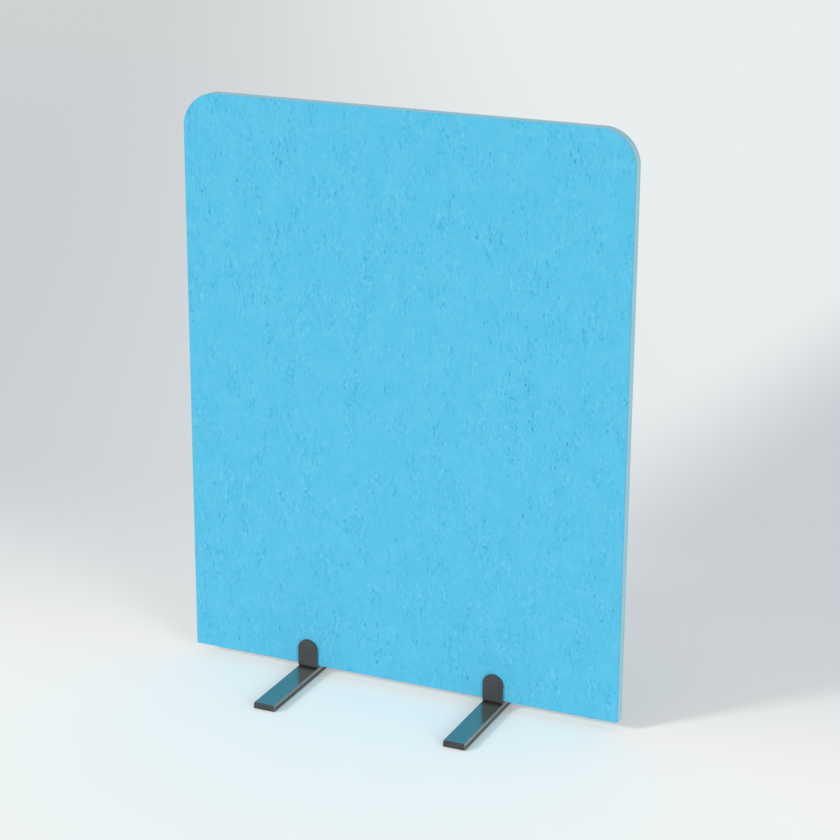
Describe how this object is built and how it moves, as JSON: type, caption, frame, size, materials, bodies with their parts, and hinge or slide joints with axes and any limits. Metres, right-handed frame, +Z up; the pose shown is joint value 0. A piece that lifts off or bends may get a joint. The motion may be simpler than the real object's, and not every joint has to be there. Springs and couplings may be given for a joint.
{
  "type": "acoustic divider screen",
  "caption": "Free-standing sound-absorbing divider: an upright felt-faced panel with rounded top corners, clasped by round-topped brackets on flat steel foot bars.",
  "frame": {"origin": "on the floor, under the middle of the panel: centre of the bounding box's bottom face", "axes": "+X along the panel, to the right seen from the front; -Y to the front; +Z up"},
  "size_m": [1, 0.45, 1.272],
  "materials": {
    "felt": "needle-punched polyester felt, matt, sky blue",
    "absorber": "bonded polyester fibre slab, undyed",
    "timber": "planed softwood, unfinished",
    "dowel": "fluted beech, unfinished",
    "edge_band": "matt edge band, pale grey-blue",
    "foot_steel": "gloss powder coat, anthracite",
    "bracket_steel": "satin powder coat, anthracite",
    "rubber": "matt black rubber",
    "zinc_steel": "zinc-plated steel",
    "black_steel": "black zinc-plated steel",
    "brass": "plain turned brass"
  },
  "bodies": {
    "root": {"front_felt": "felt", "rear_felt": "felt", "absorber_slab": "absorber", "left_stile": "timber", "right_stile": "timber", "top_rail": "timber", "bottom_rail": "timber", "frame_dowels": "dowel", "edge_band": "edge_band", "bottom_edge_band": "edge_band", "left_foot_bar": "foot_steel", "right_foot_bar": "foot_steel", "left_bracket": "bracket_steel", "right_bracket": "bracket_steel", "left_bearing_strip": "rubber", "right_bearing_strip": "rubber", "left_bracket_bolts": "zinc_steel", "right_bracket_bolts": "zinc_steel", "left_panel_screws": "black_steel", "right_panel_screws": "black_steel", "left_threaded_inserts": "brass", "right_threaded_inserts": "brass", "left_front_pad": "rubber", "left_rear_pad": "rubber", "right_front_pad": "rubber", "right_rear_pad": "rubber"}
  },
  "joints": []
}
